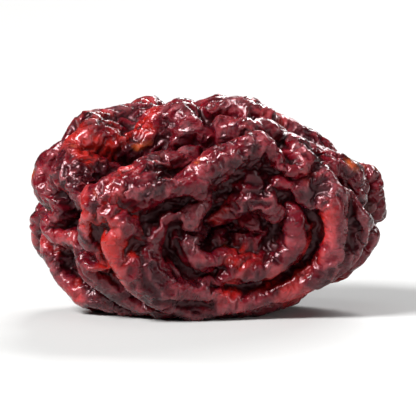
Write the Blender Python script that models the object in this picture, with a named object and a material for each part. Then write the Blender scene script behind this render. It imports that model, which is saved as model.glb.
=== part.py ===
"""A whole dried cranberry, lying on its side, as one solid.

Its long axis runs along X, with the stem end at -X and the calyx end at +X, and it rests on the
plane z = 0 with the middle of its box over the origin. It is shaped the way the fruit dries: the
flesh shrinks and the skin round it keeps its area, so the skin buckles into ridges and creases.
"""

import math

import bmesh
import bpy
import numpy as np
from mathutils import Vector, noise
from mathutils.bvhtree import BVHTree

# The shrunk flesh, in metres. The ridges of the skin stand about 0.5 mm out of it.
LENGTH = 0.0119
WIDTH = 0.0090
HEIGHT = 0.0074
TAPER = 0.10  # how much slimmer the calyx end is than the middle, as a share of the middle
LUMP = 0.0006  # how far slow lumps raise or lower the flesh
LUMP_SPREAD = 0.85  # size of a lump, as an angle in radians

# Where the flesh has sunk in: towards which side, how wide (radians), how deep (metres), and what
# share of the wrinkles ring the hollow instead of running from end to end.
HOLLOWS = (
    {"towards": (0.15, -1.00, -0.10), "spread": 0.46, "depth": 0.0019, "ringed": 1.0},
    {"towards": (-0.30, -0.62, 0.78), "spread": 0.34, "depth": 0.0011, "ringed": 0.8},
    {"towards": (0.25, 0.95, 0.20), "spread": 0.50, "depth": 0.0012, "ringed": 0.6},
    {"towards": (0.62, 0.10, 0.80), "spread": 0.36, "depth": 0.0008, "ringed": 0.6},
    {"towards": (-0.75, 0.45, 0.35), "spread": 0.40, "depth": 0.0006, "ringed": 0.5},
)
RIM_SHARE = 0.2  # height of the swollen rim round a hollow, as a share of its depth
RIM_AT = 1.6  # where the rim stands and how wide it is, as multiples of the hollow's spread
RIM_WIDTH = 0.45
RINGS_REACH = 2.3  # how far the rings of skin go out round a hollow, and how softly they end
RINGS_FADE = 0.25

# The two ends: a pit with four small lobes round it where the calyx was, and a plain stem scar.
CALYX = {"towards": (1.0, -0.12, 0.10), "spread": 0.20, "depth": 0.0008}
CALYX_LOBES = 4
LOBE_HEIGHT = 0.00035
LOBE_DIP = 0.45  # half of how far the ring of lobes dips between two of them, as a share of it
LOBES_AT = 0.75  # where the lobes stand and how wide they are, as multiples of the pit's spread
LOBES_WIDTH = 0.28
CALYX_PLAIN = 1.2  # nearer to the pit than this the skin has no ridges
CALYX_FADE = 0.1
STEM_SCAR = {"towards": (-1.0, -0.05, 0.0), "spread": 0.15, "depth": 0.0006}

# The skin
WAVE = 0.00145  # from one ridge to the next
ACROSS = 1.75  # length of skin to length of flesh, across the ridges
ALONG = 1.03  # the same along the ridges
STIFF = 0.10  # how far the skin gives way before it buckles
STIFF_CHANGE = 0.6  # how much stiffer or softer it is in places, which makes its ridges uneven
STIFF_PLACE = 0.4  # size of such a place, as an angle in radians
TOUGH_SIDE = (-0.8, -0.3, 0.6)  # the side where the skin is toughest and its ridges broadest
TOUGHER = 1.2
CLING = 0.8  # how firmly the flesh holds it sideways, as a share of how firmly it holds it down
SINKS = 0.6  # how much more easily it sinks than rises: ridges stay plump and creases narrow
SINKS_WITHIN = 0.0003
THICK = 0.00010  # how far the plump ridges swell in the end
PRESSED = 0.00036  # how far the drying tray has flattened the underside
FIRST_RIPPLE = 0.00035  # height and size of the faint ripples that the ridges grow from
FIRST_RIPPLE_SIZE = 0.0011
COLOUR = (0.16, 0.008, 0.014, 1.0)
ROUGHNESS = 0.35
SEEDS = {"lumps": 2, "small lumps": 5, "first ripple": 3, "stiffness": 9}

# How the drying is worked out: rounds on the coarse and on the fine skin, how much of a point's
# speed lasts from round to round, the rounds of easing that deep folds may need, and after how many
# of them the easing reaches one neighbour further. A step of one over the stiffest answer to a
# stretch and to a bend is the longest that can't overshoot.
COARSE_ROUNDS = 350
FINE_ROUNDS = 250
KEPT_SPEED = 0.9
STEP = 0.9
STRETCH_ANSWER = 12
BEND_ANSWER = 2.25
MOST_EASING = 60
EASING = 0.6
EASES_WIDER_AFTER = 8
TRIANGLES = 9000
FLOOR_SNAP = 0.00002


def dot(a, b):
    return a[0] * b[0] + a[1] * b[1] + a[2] * b[2]


def cross(a, b):
    return np.stack(
        [a[1] * b[2] - a[2] * b[1], a[2] * b[0] - a[0] * b[2], a[0] * b[1] - a[1] * b[0]]
    )


def unit(a):
    return a / np.maximum(np.sqrt(dot(a, a)), 1e-12)


def column(towards):
    return unit(np.array(towards, float)[:, None])


def ripple(points, size, seed):
    """Smooth noise at each point, from -1 to 1."""
    shift = Vector((7.13, 3.71, 5.39)) * seed
    return np.array([noise.noise(Vector(point) / size + shift) for point in points.T])


def within(away, reach, fade):
    """1 nearer than reach and 0 further out, with a soft edge."""
    return 1 / (1 + np.exp((away - reach) / fade))


def away_from(directions, hollow):
    """The angle from the middle of a hollow, as a multiple of its spread."""
    return np.arccos(np.clip(dot(directions, column(hollow["towards"])), -1, 1)) / hollow["spread"]


def flesh(directions):
    """The shrunk flesh: a tapered ellipsoid with slow lumps, hollows and its two ends."""
    half = np.array([[LENGTH], [WIDTH], [HEIGHT]]) / 2
    surface = directions * half
    surface[1:] *= 1 - TAPER * directions[0]
    height = LUMP * ripple(directions, LUMP_SPREAD, SEEDS["lumps"])
    height += LUMP / 2 * ripple(directions, LUMP_SPREAD / 2, SEEDS["small lumps"])
    for hollow in HOLLOWS + (CALYX, STEM_SCAR):
        away = away_from(directions, hollow)
        rim = RIM_SHARE * np.exp(-(((away - RIM_AT) / RIM_WIDTH) ** 2))
        height += hollow["depth"] * (rim - np.exp(-(away**2)))
    away = away_from(directions, CALYX)
    _, side, rise = CALYX["towards"]
    turn = np.arctan2(directions[2] - rise, directions[1] - side)
    lobes = 1 - LOBE_DIP * (1 - np.cos(CALYX_LOBES * turn))
    height += LOBE_HEIGHT * lobes * np.exp(-(((away - LOBES_AT) / LOBES_WIDTH) ** 2))
    return surface + unit(directions / half) * height


def outward(points, faces):
    """The surface's direction at each point."""
    a, b, c = (points[:, faces[:, corner]] for corner in range(3))
    of_face = cross(b - a, c - a)
    total = np.zeros_like(points)
    for corner in range(3):
        for axis in range(3):
            total[axis] += np.bincount(faces[:, corner], of_face[axis], points.shape[1])
    return unit(total)


def skin_lengths(under, directions, ring):
    """The length of skin between neighbours if nothing pulled on it: longest across the ridges."""
    lengths = []
    for near in ring:
        edge = under[:, near] - under
        middle = unit(directions[:, near] + directions)
        plain = within(away_from(middle, CALYX), CALYX_PLAIN, CALYX_FADE)
        extra = (ACROSS**2 - ALONG**2) * (1 - plain)
        squared = dot(edge, edge) * ALONG**2
        ringed = np.zeros(len(near))
        for hollow in HOLLOWS:
            near_it = within(away_from(middle, hollow), RINGS_REACH, RINGS_FADE)
            share = hollow["ringed"] * near_it
            towards = column(hollow["towards"])
            outwards = unit(middle * dot(middle, towards) - towards)
            squared += share * extra * dot(edge, outwards) ** 2
            ringed = np.maximum(ringed, share)
        around = unit(cross(column((1, 0, 0)), middle))
        squared += (1 - ringed) * extra * dot(edge, around) ** 2
        lengths.append(np.sqrt(squared))
    return lengths


def settle(skin, ring, lengths, under, up, bend, hold, tray, rounds):
    """Moves the skin until its stretch, its stiffness and the hold of the flesh balance."""
    step = STEP / (STRETCH_ANSWER + BEND_ANSWER * bend.max())
    speed = np.zeros_like(skin)
    for _ in range(rounds):
        pull = np.zeros_like(skin)
        curve = np.zeros_like(skin)
        for near, length in zip(ring, lengths):
            edge = skin[:, near] - skin
            pull += (1 - length / np.maximum(np.sqrt(dot(edge, edge)), 1e-9)) * edge
            curve += edge / 6
        for near in ring:
            pull -= bend / 6 * (curve[:, near] - curve)
        off = skin - under
        lift = dot(off, up)
        held = hold * (1 + SINKS * np.tanh(lift / SINKS_WITHIN))
        pull -= held * ((1 - CLING) * lift * up + CLING * off)
        speed = KEPT_SPEED * speed + step * pull
        skin = skin + speed
        skin[2] = np.maximum(skin[2], tray)
    return skin


def neighbours(mesh):
    """Six rows, each with one neighbour of every vertex. A vertex with five has itself once."""
    mesh.verts.index_update()
    ends = np.array([[vertex.index for vertex in edge.verts] for edge in mesh.edges])
    start = np.concatenate([ends[:, 0], ends[:, 1]])
    end = np.concatenate([ends[:, 1], ends[:, 0]])
    order = np.lexsort((end, start))
    start, end = start[order], end[order]
    row = np.arange(len(start)) - np.searchsorted(start, np.arange(len(mesh.verts)))[start]
    ring = np.tile(np.arange(len(mesh.verts)), (6, 1))
    ring[row, start] = end
    return ring


def refine(mesh, times):
    """Splits each triangle of the sphere into four."""
    for _ in range(times):
        bmesh.ops.subdivide_edges(mesh, edges=mesh.edges[:], cuts=1, use_grid_fill=True)
        for vertex in mesh.verts:
            vertex.co.normalize()


def dry(mesh, skin, rounds):
    """Lays skin over the flesh, one point for each vertex of the sphere, and lets it buckle."""
    directions = np.array([vertex.co for vertex in mesh.verts], float).T
    faces = np.array([[vertex.index for vertex in face.verts] for face in mesh.faces])
    ring = neighbours(mesh)
    under = flesh(directions)
    up = outward(under, faces)
    if skin is None:
        skin = under + up * FIRST_RIPPLE * ripple(under, FIRST_RIPPLE_SIZE, SEEDS["first ripple"])
    edge = sum(np.sqrt(dot(under[:, near] - under, under[:, near] - under)) for near in ring) / 6
    spread = (WAVE / (math.pi * edge.mean())) ** 2
    change = (1 + STIFF_CHANGE * ripple(directions, STIFF_PLACE, SEEDS["stiffness"])) ** 2
    change *= np.exp(TOUGHER * dot(directions, column(TOUGH_SIDE)))
    bend = STIFF * spread * (edge.mean() / edge) ** 4 * change
    lengths = skin_lengths(under, directions, ring)
    tray = under[2].min() + PRESSED
    skin = settle(skin, ring, lengths, under, up, bend, STIFF / spread, tray, rounds)
    return skin, faces, tray


def crossed(points, faces):
    """Marks the points of triangles that cut through each other."""
    tree = BVHTree.FromPolygons([Vector(point) * 1000 for point in points.T], faces.tolist())
    pairs = np.array(tree.overlap(tree), int).reshape(-1, 2)
    first, second = faces[pairs[:, 0]], faces[pairs[:, 1]]
    apart = (first[:, :, None] != second[:, None, :]).all(axis=(1, 2))
    marks = np.zeros(points.shape[1])
    marks[first[apart]] = 1
    return marks


def ease(points, faces, tray):
    """Smooths the few creases where the skin has folded into itself, wider with each try."""
    start = faces.ravel()
    end = faces[:, [1, 2, 0]].ravel()
    count = np.bincount(start)
    for turn in range(MOST_EASING):
        marks = crossed(points, faces)
        if not marks.any():
            break
        for _ in range(1 + turn // EASES_WIDER_AFTER):
            marks = np.maximum(marks, np.bincount(start, marks[end]) > 0)
        smooth = np.array([np.bincount(start, row[end]) for row in points]) / count
        points = points + EASING * marks * (smooth - points)
        points[2] = np.maximum(points[2], tray)
    return points


def slimmed(mesh_data):
    """The same surface with fewer triangles, small on the ridges and large where it is even."""
    carrier = bpy.data.objects.new("full_skin", mesh_data)
    bpy.context.scene.collection.objects.link(carrier)
    decimate = carrier.modifiers.new("fewer_triangles", "DECIMATE")
    decimate.ratio = TRIANGLES / len(mesh_data.polygons)
    graph = bpy.context.evaluated_depsgraph_get()
    slim = bpy.data.meshes.new_from_object(carrier.evaluated_get(graph))
    bpy.data.objects.remove(carrier)
    return slim


def stand(points, tray):
    """Puts the flattened underside on z = 0 and the middle of the box over the origin."""
    middle = (points.min(axis=1) + points.max(axis=1)) / 2
    middle[2] = tray
    points = points - middle[:, None]
    points[2, points[2] < FLOOR_SNAP] = 0
    return points


def skin_material():
    material = bpy.data.materials.new("dried_skin")
    material.use_nodes = True
    shader = material.node_tree.nodes["Principled BSDF"]
    shader.inputs["Base Color"].default_value = COLOUR
    shader.inputs["Roughness"].default_value = ROUGHNESS
    shader.inputs["Metallic"].default_value = 0.0
    return material


def dried_cranberry():
    mesh = bmesh.new()
    bmesh.ops.create_icosphere(mesh, subdivisions=1, radius=1.0)
    bmesh.ops.subdivide_edges(mesh, edges=mesh.edges[:], cuts=2, use_grid_fill=True)
    layer = mesh.verts.layers.float_vector.new("skin")
    refine(mesh, 3)
    skin, faces, tray = dry(mesh, None, COARSE_ROUNDS)
    for vertex, place in zip(mesh.verts, skin.T):
        vertex[layer] = place
    refine(mesh, 1)
    skin = np.array([vertex[layer] for vertex in mesh.verts], float).T
    skin, faces, tray = dry(mesh, skin, FINE_ROUNDS)
    skin = ease(skin, faces, tray)
    tray -= THICK
    skin = ease(skin + outward(skin, faces) * THICK, faces, tray)
    for vertex, place in zip(mesh.verts, skin.T):
        vertex.co = place
    full = bpy.data.meshes.new("full_skin")
    mesh.to_mesh(full)
    mesh.free()
    slim = slimmed(full)
    bpy.data.meshes.remove(full)
    points = np.array([vertex.co for vertex in slim.vertices], float).T
    faces = np.array([face.vertices for face in slim.polygons])
    points = stand(ease(points, faces, tray), tray)
    for vertex, place in zip(slim.vertices, points.T):
        vertex.co = place
    slim.name = "dried_cranberry"
    slim.shade_smooth()
    slim.materials.append(skin_material())
    berry = bpy.data.objects.new("dried_cranberry", slim)
    bpy.context.scene.collection.objects.link(berry)


def main():
    for old in list(bpy.data.objects):
        bpy.data.objects.remove(old)
    dried_cranberry()


main()
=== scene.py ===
import math

import bmesh
import bpy
import numpy as np
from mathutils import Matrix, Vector, noise
from mathutils.bvhtree import BVHTree


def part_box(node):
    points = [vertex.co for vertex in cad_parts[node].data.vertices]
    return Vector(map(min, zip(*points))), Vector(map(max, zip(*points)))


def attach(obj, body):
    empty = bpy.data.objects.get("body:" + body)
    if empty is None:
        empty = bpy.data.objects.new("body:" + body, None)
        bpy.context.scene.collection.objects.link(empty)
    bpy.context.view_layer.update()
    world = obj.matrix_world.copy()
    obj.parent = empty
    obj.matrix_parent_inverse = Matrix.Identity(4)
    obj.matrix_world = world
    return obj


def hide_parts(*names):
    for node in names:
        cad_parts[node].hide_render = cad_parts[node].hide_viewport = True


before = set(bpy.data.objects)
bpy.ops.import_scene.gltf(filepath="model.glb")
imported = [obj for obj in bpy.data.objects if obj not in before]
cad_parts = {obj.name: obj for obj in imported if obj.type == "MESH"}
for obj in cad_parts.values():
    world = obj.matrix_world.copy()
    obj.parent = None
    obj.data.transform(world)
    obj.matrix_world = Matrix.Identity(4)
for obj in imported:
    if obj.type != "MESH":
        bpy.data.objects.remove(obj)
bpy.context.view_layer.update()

# The flesh of a whole cranberry that has dried: sweet, sticky pulp. It has shrunk to an uneven
# oval and sunk into hollows where the berry's air chambers were. The skin hides all of it.
LENGTH = 0.0119
WIDTH = 0.0090
HEIGHT = 0.0074
TAPER = 0.10  # how much slimmer the calyx end is than the middle, as a share of the middle
LUMP = 0.0006  # how far slow lumps raise or lower the flesh
LUMP_SPREAD = 0.85  # size of a lump, as an angle in radians
LUMP_SEED = 2
SMALL_LUMP_SEED = 5
HOLLOWS = (
    {"towards": (0.15, -1.00, -0.10), "spread": 0.46, "depth": 0.0019, "ringed": 1.0},
    {"towards": (-0.30, -0.62, 0.78), "spread": 0.34, "depth": 0.0011, "ringed": 0.8},
    {"towards": (0.25, 0.95, 0.20), "spread": 0.50, "depth": 0.0012, "ringed": 0.6},
    {"towards": (0.62, 0.10, 0.80), "spread": 0.36, "depth": 0.0008, "ringed": 0.6},
    {"towards": (-0.75, 0.45, 0.35), "spread": 0.40, "depth": 0.0006, "ringed": 0.5},
)
RIM_SHARE = 0.2  # height of the swollen rim round a hollow, as a share of its depth
RIM_AT = 1.6  # where the rim stands and how wide it is, as multiples of the hollow's spread
RIM_WIDTH = 0.45
SEED_SHIFT = Vector((7.13, 3.71, 5.39))  # how far apart the noises of two seeds are taken
NO_LENGTH = 1e-12  # no length counts as shorter than this where one is divided by


def dot(a, b):
    return a[0] * b[0] + a[1] * b[1] + a[2] * b[2]


def unit(a):
    return a / np.maximum(np.sqrt(dot(a, a)), NO_LENGTH)


def column(towards):
    return unit(np.array(towards, float)[:, None])


def ripple(points, size, seed):
    """Smooth noise at each point, from -1 to 1."""
    shift = SEED_SHIFT * seed
    return np.array([noise.noise(Vector(point) / size + shift) for point in points.T])


def away_from(directions, hollow):
    """The angle from the middle of a hollow, as a multiple of its spread."""
    cosine = np.clip(dot(directions, column(hollow["towards"])), -1, 1)
    return np.arccos(cosine) / hollow["spread"]


# The two ends. At one the flower's four dried lobes stand round a shallow pit, and at the other
# is the small dimple where the stem came off. Both are part of the flesh and keep its skin.
CALYX = {"towards": (1.0, -0.12, 0.10), "spread": 0.20, "depth": 0.0008}
CALYX_LOBES = 4
LOBE_HEIGHT = 0.00035
LOBE_DIP = 0.45  # half of how far the ring of lobes dips between two of them, as a share of it
LOBES_AT = 0.75  # where the lobes stand and how wide they are, as multiples of the pit's spread
LOBES_WIDTH = 0.28
STEM_SCAR = {"towards": (-1.0, -0.05, 0.0), "spread": 0.15, "depth": 0.0006}


def flesh(directions):
    """The shrunk flesh: a tapered ellipsoid with slow lumps, hollows and its two ends."""
    half = np.array([[LENGTH], [WIDTH], [HEIGHT]]) / 2
    surface = directions * half
    surface[1:] *= 1 - TAPER * directions[0]
    height = LUMP * ripple(directions, LUMP_SPREAD, LUMP_SEED)
    height += LUMP / 2 * ripple(directions, LUMP_SPREAD / 2, SMALL_LUMP_SEED)
    for hollow in HOLLOWS + (CALYX, STEM_SCAR):
        away = away_from(directions, hollow)
        rim = RIM_SHARE * np.exp(-(((away - RIM_AT) / RIM_WIDTH) ** 2))
        height += hollow["depth"] * (rim - np.exp(-(away**2)))
    away = away_from(directions, CALYX)
    _, side, rise = CALYX["towards"]
    turn = np.arctan2(directions[2] - rise, directions[1] - side)
    lobes = 1 - LOBE_DIP * (1 - np.cos(CALYX_LOBES * turn))
    height += LOBE_HEIGHT * lobes * np.exp(-(((away - LOBES_AT) / LOBES_WIDTH) ** 2))
    return surface + unit(directions / half) * height


# The skin: thin, tough and waxy. It keeps its area while the flesh shrinks, so it buckles into
# plump ridges with narrow creases between them: round the hollows, and from end to end elsewhere.
# The side it dried on is pressed flat.
WAVE = 0.00145  # from one ridge to the next
ACROSS = 1.75  # length of skin to length of flesh, across the ridges
ALONG = 1.03  # the same along the ridges
STIFF = 0.10  # how far the skin gives way before it buckles
STIFF_CHANGE = 0.6  # how much stiffer or softer it is in places, which makes its ridges uneven
STIFF_PLACE = 0.4  # size of such a place, as an angle in radians
STIFF_SEED = 9
TOUGH_SIDE = (-0.8, -0.3, 0.6)  # the side where the skin is toughest and its ridges broadest
TOUGHER = 1.2
CLING = 0.8  # how firmly the flesh holds it sideways, as a share of how firmly it holds it down
SINKS = 0.6  # how much more easily it sinks than rises: ridges stay plump and creases narrow
SINKS_WITHIN = 0.0003
THICK = 0.00010  # how far the plump ridges swell in the end
PRESSED = 0.00036  # how far the drying tray has flattened the underside
RINGS_REACH = 2.3  # how far the rings of skin go out round a hollow, and how softly they end
RINGS_FADE = 0.25
CALYX_PLAIN = 1.2  # nearer to the calyx pit than this the skin has no ridges
CALYX_FADE = 0.1
FIRST_RIPPLE = 0.00035  # height and size of the faint ripples that the ridges grow from
FIRST_RIPPLE_SIZE = 0.0011
FIRST_RIPPLE_SEED = 3
SPHERE_CUTS = 2  # the first cuts in each edge of the starting sphere, and its splits after them
COARSE_SPLITS = 3
COARSE_ROUNDS = 350  # rounds of settling on the coarse sphere and on the finer one
RIDGE_ROUNDS = 250
KEPT_SPEED = 0.9  # speed kept from one round to the next, and the reach of a round's step
STEP = 0.9
STRETCH_ANSWER = 12  # how strongly stretched and bent skin answers, which keeps the step safe
BEND_ANSWER = 2.25
SHORTEST_SKIN = 1e-9  # no piece of skin counts as shorter than this
EASING = 0.6  # how far an eased point moves, how often creases are eased, and when more widely
MOST_EASING = 60
EASES_WIDER_AFTER = 8
IN_MM = 1000  # triangles that cross are looked for in millimetres


def cross(a, b):
    return np.stack(
        [a[1] * b[2] - a[2] * b[1], a[2] * b[0] - a[0] * b[2], a[0] * b[1] - a[1] * b[0]]
    )


def outward(points, faces):
    """The surface's direction at each point."""
    a, b, c = (points[:, faces[:, corner]] for corner in range(3))
    of_face = cross(b - a, c - a)
    total = np.zeros_like(points)
    for corner in range(3):
        for axis in range(3):
            total[axis] += np.bincount(faces[:, corner], of_face[axis], points.shape[1])
    return unit(total)


def within(away, reach, fade):
    """1 nearer than reach and 0 further out, with a soft edge."""
    return 1 / (1 + np.exp((away - reach) / fade))


def skin_lengths(under, directions, ring, across, along):
    """The length of skin between neighbours if nothing pulled on it: longest across the ridges."""
    lengths = []
    for near in ring:
        edge = under[:, near] - under
        middle = unit(directions[:, near] + directions)
        plain = within(away_from(middle, CALYX), CALYX_PLAIN, CALYX_FADE)
        extra = (across**2 - along**2) * (1 - plain)
        squared = dot(edge, edge) * along**2
        ringed = np.zeros(len(near))
        for hollow in HOLLOWS:
            near_it = within(away_from(middle, hollow), RINGS_REACH, RINGS_FADE)
            share = hollow["ringed"] * near_it
            towards = column(hollow["towards"])
            outwards = unit(middle * dot(middle, towards) - towards)
            squared += share * extra * dot(edge, outwards) ** 2
            ringed = np.maximum(ringed, share)
        around = unit(cross(column((1, 0, 0)), middle))
        squared += (1 - ringed) * extra * dot(edge, around) ** 2
        lengths.append(np.sqrt(squared))
    return lengths


def mean_edge(points, ring):
    """The mean distance from each point to its neighbours."""
    edges = [points[:, near] - points for near in ring]
    return sum(np.sqrt(dot(edge, edge)) for edge in edges) / len(ring)


def stiffness(wave, edge, stiff):
    """How the skin resists bending, and how the flesh holds it, for ridges a wave apart."""
    spread = (wave / (math.pi * edge.mean())) ** 2
    return stiff * spread * (edge.mean() / edge) ** 4, stiff / spread


def settle(skin, ring, lengths, under, up, bend, hold, tray, rounds):
    """Moves the skin until its stretch, its stiffness and the hold of the flesh balance."""
    step = STEP / (STRETCH_ANSWER + BEND_ANSWER * bend.max())
    speed = np.zeros_like(skin)
    for _ in range(rounds):
        pull = np.zeros_like(skin)
        curve = np.zeros_like(skin)
        for near, length in zip(ring, lengths):
            edge = skin[:, near] - skin
            pull += (1 - length / np.maximum(np.sqrt(dot(edge, edge)), SHORTEST_SKIN)) * edge
            curve += edge / len(ring)
        for near in ring:
            pull -= bend / len(ring) * (curve[:, near] - curve)
        off = skin - under
        lift = dot(off, up)
        held = hold * (1 + SINKS * np.tanh(lift / SINKS_WITHIN))
        pull -= held * ((1 - CLING) * lift * up + CLING * off)
        speed = KEPT_SPEED * speed + step * pull
        skin = skin + speed
        skin[2] = np.maximum(skin[2], tray)
    return skin


def refine(mesh, times):
    """Splits each triangle of the sphere into four, that many times."""
    for _ in range(times):
        bmesh.ops.subdivide_edges(mesh, edges=mesh.edges[:], cuts=1, use_grid_fill=True)
        for vertex in mesh.verts:
            vertex.co.normalize()


def directions_of(mesh):
    return np.array([vertex.co for vertex in mesh.verts], float).T


def triangles_of(mesh):
    return np.array([[vertex.index for vertex in face.verts] for face in mesh.faces])


def neighbours(mesh):
    """Six rows, each with one neighbour of every vertex. A vertex with five has itself once."""
    mesh.verts.index_update()
    ends = np.array([[vertex.index for vertex in edge.verts] for edge in mesh.edges])
    start = np.concatenate([ends[:, 0], ends[:, 1]])
    end = np.concatenate([ends[:, 1], ends[:, 0]])
    order = np.lexsort((end, start))
    start, end = start[order], end[order]
    row = np.arange(len(start)) - np.searchsorted(start, np.arange(len(mesh.verts)))[start]
    ring = np.tile(np.arange(len(mesh.verts)), (6, 1))
    ring[row, start] = end
    return ring


def dry(mesh, skin, rounds):
    """Lays skin over the flesh, one point for each vertex of the sphere, and lets it buckle."""
    directions = directions_of(mesh)
    faces = triangles_of(mesh)
    ring = neighbours(mesh)
    under = flesh(directions)
    up = outward(under, faces)
    if skin is None:
        skin = under + up * FIRST_RIPPLE * ripple(under, FIRST_RIPPLE_SIZE, FIRST_RIPPLE_SEED)
    bend, hold = stiffness(WAVE, mean_edge(under, ring), STIFF)
    bend *= (1 + STIFF_CHANGE * ripple(directions, STIFF_PLACE, STIFF_SEED)) ** 2
    bend *= np.exp(TOUGHER * dot(directions, column(TOUGH_SIDE)))
    lengths = skin_lengths(under, directions, ring, ACROSS, ALONG)
    tray = under[2].min() + PRESSED
    skin = settle(skin, ring, lengths, under, up, bend, hold, tray, rounds)
    return skin, faces, tray


def crossed(points, faces):
    """Marks the points of triangles that cut through each other."""
    tree = BVHTree.FromPolygons([Vector(point) * IN_MM for point in points.T], faces.tolist())
    pairs = np.array(tree.overlap(tree), int).reshape(-1, 2)
    first, second = faces[pairs[:, 0]], faces[pairs[:, 1]]
    apart = (first[:, :, None] != second[:, None, :]).all(axis=(1, 2))
    marks = np.zeros(points.shape[1])
    marks[first[apart]] = 1
    return marks


def ease(points, faces, tray, most):
    """Smooths the few creases where the skin has folded into itself, wider with each try."""
    start = faces.ravel()
    end = faces[:, [1, 2, 0]].ravel()
    count = np.bincount(start)
    for turn in range(most):
        marks = crossed(points, faces)
        if not marks.any():
            break
        for _ in range(1 + turn // EASES_WIDER_AFTER):
            marks = np.maximum(marks, np.bincount(start, marks[end]) > 0)
        smooth = np.array([np.bincount(start, row[end]) for row in points]) / count
        points = points + EASING * marks * (smooth - points)
        points[2] = np.maximum(points[2], tray)
    return points


def keep_places(mesh, layer, skin):
    for vertex, place in zip(mesh.verts, skin.T):
        vertex[layer] = place


def kept_places(mesh, layer):
    return np.array([vertex[layer] for vertex in mesh.verts], float).T


mesh = bmesh.new()
bmesh.ops.create_icosphere(mesh, subdivisions=1, radius=1.0)
bmesh.ops.subdivide_edges(mesh, edges=mesh.edges[:], cuts=SPHERE_CUTS, use_grid_fill=True)
layer = mesh.verts.layers.float_vector.new("skin")
refine(mesh, COARSE_SPLITS)
skin, faces, tray = dry(mesh, None, COARSE_ROUNDS)
keep_places(mesh, layer, skin)
refine(mesh, 1)
skin, faces, tray = dry(mesh, kept_places(mesh, layer), RIDGE_ROUNDS)
skin = ease(skin, faces, tray, MOST_EASING)
tray -= THICK
skin = ease(skin + outward(skin, faces) * THICK, faces, tray, MOST_EASING)

# The fine wrinkles: the last water leaves the skin itself, so it crinkles once more over the big
# folds, half a millimetre from one crinkle to the next, and less on tight crests and in creases.
FINE_WAVE = 0.00048  # the same measures as for the folds
FINE_ACROSS = 1.34
FINE_ALONG = 1.09
FINE_STIFF = 0.02
FINE_RIPPLE = 0.00003
FINE_RIPPLE_SIZE = 0.0003
FINE_RIPPLE_SEED = 17
FINE_ROUNDS = 120
FINE_EASING = 6
FOLD_SOFTENING = 2  # how often the folds' finer mesh is smoothed before it crinkles
SHORTEST_EDGE = 0.00006  # the stiffness takes no mesh edge as shorter than this
CREST_HEIGHT = 0.0009  # from the foot of a tall ridge to its crest
CREST_TAUT = 0.2  # how much of the crinkling a crest or a crease loses, as a share of it
CREASE_TAUT = 0.3
CREASE_DEPTH = 0.00008  # how far the bottom of a narrow crease lies below the skin round it
CREASE_BLURS = 12  # a crease is measured from the skin smoothed this often, and a valley likewise
VALLEY_BLURS = 60


def below(points, faces, ring, blurs):
    """How far each point lies below the skin's own shape smoothed over its surroundings."""
    smooth = points
    for _ in range(blurs):
        smooth = sum(smooth[:, near] for near in ring) / len(ring)
    return dot(smooth - points, outward(points, faces))


keep_places(mesh, layer, skin)
refine(mesh, 1)
directions = directions_of(mesh)
faces = triangles_of(mesh)
ring = neighbours(mesh)
folds = kept_places(mesh, layer)
for _ in range(FOLD_SOFTENING):
    folds = 0.5 * folds + 0.5 * sum(folds[:, near] for near in ring) / len(ring)
folds[2] = np.maximum(folds[2], tray)
core = flesh(directions)
crest = np.clip(0.5 + dot(folds - core, outward(core, faces)) / CREST_HEIGHT, 0, 1)
crease = np.clip(below(folds, faces, ring, CREASE_BLURS) / CREASE_DEPTH, 0, 1)
free = (1 - CREST_TAUT * crest) * (1 - CREASE_TAUT * crease)
up = outward(folds, faces)
edge = np.maximum(mean_edge(folds, ring), SHORTEST_EDGE)
bend, hold = stiffness(FINE_WAVE, edge, FINE_STIFF)
taut = skin_lengths(folds, directions, ring, 1.0, 1.0)
loose = skin_lengths(folds, directions, ring, FINE_ACROSS, FINE_ALONG)
lengths = [short + free * (long - short) for short, long in zip(taut, loose)]
skin = folds + up * FINE_RIPPLE * ripple(folds, FINE_RIPPLE_SIZE, FINE_RIPPLE_SEED)
skin = settle(skin, ring, lengths, folds, up, bend, hold, tray, FINE_ROUNDS)
skin = ease(skin, faces, tray, FINE_EASING)
marks = {
    "crest": crest,
    "crease": below(skin, faces, ring, CREASE_BLURS) / CREASE_DEPTH,
    "valley": below(skin, faces, ring, VALLEY_BLURS) / CREST_HEIGHT,
    "calyx": away_from(directions, CALYX),
    "stem": away_from(directions, STEM_SCAR),
}

low, high = (np.array(corner)[:, None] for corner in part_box("dried_cranberry"))
least, most = skin.min(axis=1)[:, None], skin.max(axis=1)[:, None]
skin = low + (skin - least) * (high - low) / (most - least)
for vertex, place in zip(mesh.verts, skin.T):
    vertex.co = place
mesh.verts.layers.float_vector.remove(layer)
berry_data = bpy.data.meshes.new("berry_skin")
mesh.to_mesh(berry_data)
mesh.free()
berry_data.shade_smooth()
for name, values in marks.items():
    attribute = berry_data.attributes.new(name, "FLOAT", "POINT")
    attribute.data.foreach_set("value", values.astype(np.float32))
berry = bpy.data.objects.new("berry_skin", berry_data)
bpy.context.scene.collection.objects.link(berry)
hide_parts("dried_cranberry")
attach(berry, "root")

# The finish of the skin: its own wax and a film of sugar syrup over dark pulp. It is deep crimson
# on the folds and almost black in the creases and valleys, from darker pigment and painted shade;
# rosy along the crests, from a pale bloom and a painted highlight; and scarlet to orange in random
# patches, a painted glow where light would come through the pulp.
# The crease colour is darker pigment with painted shade mixed in, for the creases and valleys.
CREASE_MAROON_AND_SHADE = (0.0180, 0.0004, 0.0012, 1)
MAROON = (0.0260, 0.0007, 0.0027, 1)
CRIMSON = (0.1180, 0.0023, 0.0078, 1)
# Rosy: a pale bloom on the crests with a painted highlight in it.
ROSY_BLOOM_AND_HIGHLIGHT = (0.3700, 0.0720, 0.0880, 1)
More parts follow.
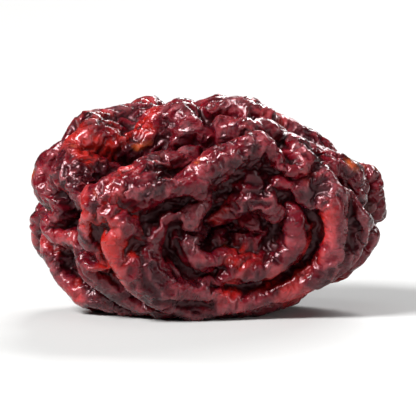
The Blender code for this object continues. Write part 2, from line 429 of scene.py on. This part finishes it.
# Scarlet and amber: a painted glow of light through the pulp, not pigment.
SCARLET_GLOW = (0.3500, 0.0100, 0.0045, 1)
AMBER_GLOW = (0.5200, 0.0950, 0.0120, 1)
CALYX_BROWN = (0.0450, 0.0140, 0.0070, 1)
STEM_TAN = (0.2300, 0.0900, 0.0350, 1)
PINK_GLOSS = (1.0, 0.60, 0.65, 1)
MOTTLE_SIZE = 0.0013  # sizes of the patches of colour
SCARLET_GLOW_SIZE = 0.0024
AMBER_GLOW_PATCH_SIZE = 0.0016
BLOOM_AND_HIGHLIGHT_SIZE = 0.0006
SATIN_SIZE = 0.0007  # size of glossier and duller patches, and their roughness
SATIN = (0.20, 0.36)
DULLER_CREASES = 0.1  # how much rougher the creases are, and the share of the darker maroon and painted shade over them
CREASE_SHADE_SHARE = 0.93
SYRUP = 0.3  # weight of the clear coat of syrup on the crests
LEATHER_SIZE = 0.0003  # size and depth of the skin's creased grain, and of its pores
LEATHER_DEPTH = 0.00012
PORE_SIZE = 0.00014
PORE_DEPTH = 0.00002

skin_finish = bpy.data.materials.new("waxy_cranberry_skin")
skin_finish.use_nodes = True
nodes = skin_finish.node_tree.nodes
links = skin_finish.node_tree.links
shader = nodes["Principled BSDF"]
place = nodes.new("ShaderNodeTexCoord").outputs["Object"]


def mark(name):
    node = nodes.new("ShaderNodeAttribute")
    node.attribute_name = name
    return node.outputs["Fac"]


def cloud(size, detail, roughness, distortion=0.0, kind="FBM"):
    """Noise with patches of that size in metres, cloudy from 0 to 1 unless the kind says ridged."""
    node = nodes.new("ShaderNodeTexNoise")
    node.noise_type = kind
    links.new(place, node.inputs["Vector"])
    node.inputs["Scale"].default_value = 1 / size
    node.inputs["Detail"].default_value = detail
    node.inputs["Roughness"].default_value = roughness
    node.inputs["Distortion"].default_value = distortion
    return node.outputs["Fac"]


def ranged(source, low, high, out_low, out_high):
    """A soft step from out_low, where source is low or less, to out_high."""
    node = nodes.new("ShaderNodeMapRange")
    node.interpolation_type = "SMOOTHSTEP"
    links.new(source, node.inputs["Value"])
    ends = {"From Min": low, "From Max": high, "To Min": out_low, "To Max": out_high}
    for socket, number in ends.items():
        node.inputs[socket].default_value = number
    return node.outputs["Result"]


def joined(operation, first, second):
    node = nodes.new("ShaderNodeMath")
    node.operation = operation
    for socket, source in zip(node.inputs, (first, second)):
        if isinstance(source, float):
            socket.default_value = source
        else:
            links.new(source, socket)
    return node.outputs["Value"]


def coloured_over(colour, laid_colour, share):
    """The colour with that share of a second colour over it, used for stains and for painted shade,
    highlight and glow alike.
    """
    node = nodes.new("ShaderNodeMix")
    node.data_type = "RGBA"
    links.new(share, node.inputs["Factor"])
    first, second = (socket for socket in node.inputs if socket.type == "RGBA")
    if isinstance(colour, tuple):
        first.default_value = colour
    else:
        links.new(colour, first)
    second.default_value = laid_colour
    return next(socket for socket in node.outputs if socket.type == "RGBA")


def grained(height, strength, depth):
    """A bump of that strength and depth in metres."""
    node = nodes.new("ShaderNodeBump")
    links.new(height, node.inputs["Height"])
    node.inputs["Strength"].default_value = strength
    node.inputs["Distance"].default_value = depth
    return node


in_crease = ranged(mark("crease"), -0.4, 0.7, 0, 1)
in_valley = ranged(mark("valley"), -0.02, 0.22, 0, 1)
deep = joined("MAXIMUM", in_crease, in_valley)
on_edge = ranged(mark("crease"), -1.3, -0.5, 1, 0)
on_crest = ranged(mark("crest"), 0.3, 0.9, 0, 1)
patchy = ranged(cloud(BLOOM_AND_HIGHLIGHT_SIZE, 4, 0.62), 0.42, 0.68, 0, 0.5)
crest_bloom_and_highlight = joined("MULTIPLY", joined("MULTIPLY", on_edge, on_crest), patchy)
colour = coloured_over(MAROON, CRIMSON, ranged(cloud(MOTTLE_SIZE, 5, 0.62), 0.38, 0.62, 0, 1))
# Painted glow: scarlet patches at random where light would come through the pulp.
colour = coloured_over(colour, SCARLET_GLOW, ranged(cloud(SCARLET_GLOW_SIZE, 3, 0.55), 0.56, 0.68, 0, 0.8))
# Painted glow: amber spots at random, more of the same light through the pulp.
amber_glow_patches = ranged(cloud(AMBER_GLOW_PATCH_SIZE, 1, 0.5, 0.5), 0.68, 0.78, 0, 0.7)
colour = coloured_over(colour, AMBER_GLOW, amber_glow_patches)
# Pale bloom and painted rosy highlight along the crest lines, in patches.
colour = coloured_over(colour, ROSY_BLOOM_AND_HIGHLIGHT, crest_bloom_and_highlight)
# Painted shade: near-black maroon over the creases and valleys, on top of their darker pigment.
colour = coloured_over(colour, CREASE_MAROON_AND_SHADE, joined("MULTIPLY", deep, CREASE_SHADE_SHARE))
colour = coloured_over(colour, CALYX_BROWN, ranged(mark("calyx"), 0.5, 1.0, 0.8, 0))
colour = coloured_over(colour, STEM_TAN, ranged(mark("stem"), 0.35, 0.8, 0.8, 0))
links.new(colour, shader.inputs["Base Color"])
satin = ranged(cloud(SATIN_SIZE, 4, 0.6), 0.3, 0.7, *SATIN)
duller = joined("MULTIPLY", deep, DULLER_CREASES)
links.new(joined("ADD", satin, duller), shader.inputs["Roughness"])
shader.inputs["Specular Tint"].default_value = PINK_GLOSS
shader.inputs["IOR"].default_value = 1.47
shader.inputs["Subsurface Weight"].default_value = 0.35
shader.inputs["Subsurface Radius"].default_value = (1.0, 0.10, 0.06)
shader.inputs["Subsurface Scale"].default_value = 0.0007
links.new(joined("MULTIPLY", on_edge, SYRUP), shader.inputs["Coat Weight"])
shader.inputs["Coat Roughness"].default_value = 0.10

creased = cloud(LEATHER_SIZE, 3, 0.5, 0.6, "RIDGED_MULTIFRACTAL")
leather = grained(creased, 1.0, LEATHER_DEPTH)
pores = grained(cloud(PORE_SIZE, 4, 0.6), 0.4, PORE_DEPTH)
links.new(leather.outputs["Normal"], pores.inputs["Normal"])
links.new(pores.outputs["Normal"], shader.inputs["Normal"])
berry_data.materials.append(skin_finish)

# The stage: a plain pale floor under four soft boxes, and a long lens that looks a little down at
# the berry. None of it belongs to the berry.
FLOOR_REACH = 1.0  # from the middle of the floor to its edge
FLOOR_COLOUR = (0.52, 0.52, 0.515, 1)
FLOOR_ROUGHNESS = 0.6
ROOM_COLOUR = (1, 1, 1, 1)
ROOM_GLOW = 0.06
floor_mesh = bmesh.new()
bmesh.ops.create_grid(floor_mesh, x_segments=1, y_segments=1, size=FLOOR_REACH)
floor_data = bpy.data.meshes.new("floor")
floor_mesh.to_mesh(floor_data)
floor_mesh.free()
floor = bpy.data.objects.new("floor", floor_data)
bpy.context.scene.collection.objects.link(floor)
pale = bpy.data.materials.new("pale_floor")
pale.use_nodes = True
floor_shader = pale.node_tree.nodes["Principled BSDF"]
floor_shader.inputs["Base Color"].default_value = FLOOR_COLOUR
floor_shader.inputs["Roughness"].default_value = FLOOR_ROUGHNESS
floor_data.materials.append(pale)

world = bpy.data.worlds.new("studio")
bpy.context.scene.world = world
world.use_nodes = True
room = world.node_tree.nodes["Background"]
room.inputs["Color"].default_value = ROOM_COLOUR
room.inputs["Strength"].default_value = ROOM_GLOW


def soft_light(name, place, size, glow):
    """A softbox aimed at the berry, with its brightness in watts per square metre and steradian."""
    lamp = bpy.data.lights.new(name, "AREA")
    lamp.shape = "RECTANGLE"
    lamp.size, lamp.size_y = size
    lamp.energy = math.pi * size[0] * size[1] * glow
    holder = bpy.data.objects.new(name, lamp)
    holder.location = place
    holder.rotation_euler = (-Vector(place)).to_track_quat("-Z", "Y").to_euler()
    bpy.context.scene.collection.objects.link(holder)


soft_light("key", (-0.22, -0.18, 0.28), (0.16, 0.12), 54)
soft_light("side", (0.36, -0.20, 0.13), (0.06, 0.24), 8)
soft_light("back", (0.12, 0.32, 0.20), (0.26, 0.07), 20)
soft_light("top", (0.0, 0.0, 0.40), (0.30, 0.30), 1.0)

CAMERA_RISE = math.radians(7)
CAMERA_DISTANCE = 0.55
FRAME_WIDTH = 0.0150
TARGET_HEIGHT = 0.0037
SENSOR_WIDTH = 36
camera_data = bpy.data.cameras.new("camera")
camera_data.sensor_width = SENSOR_WIDTH
camera_data.lens = SENSOR_WIDTH * CAMERA_DISTANCE / FRAME_WIDTH
camera = bpy.data.objects.new("camera", camera_data)
target = Vector((0, 0, TARGET_HEIGHT))
away = Vector((0, -math.cos(CAMERA_RISE), math.sin(CAMERA_RISE)))
camera.location = target + CAMERA_DISTANCE * away
camera.rotation_euler = (-away).to_track_quat("-Z", "Y").to_euler()
bpy.context.scene.collection.objects.link(camera)
bpy.context.scene.camera = camera
bpy.context.scene.view_settings.view_transform = "Standard"
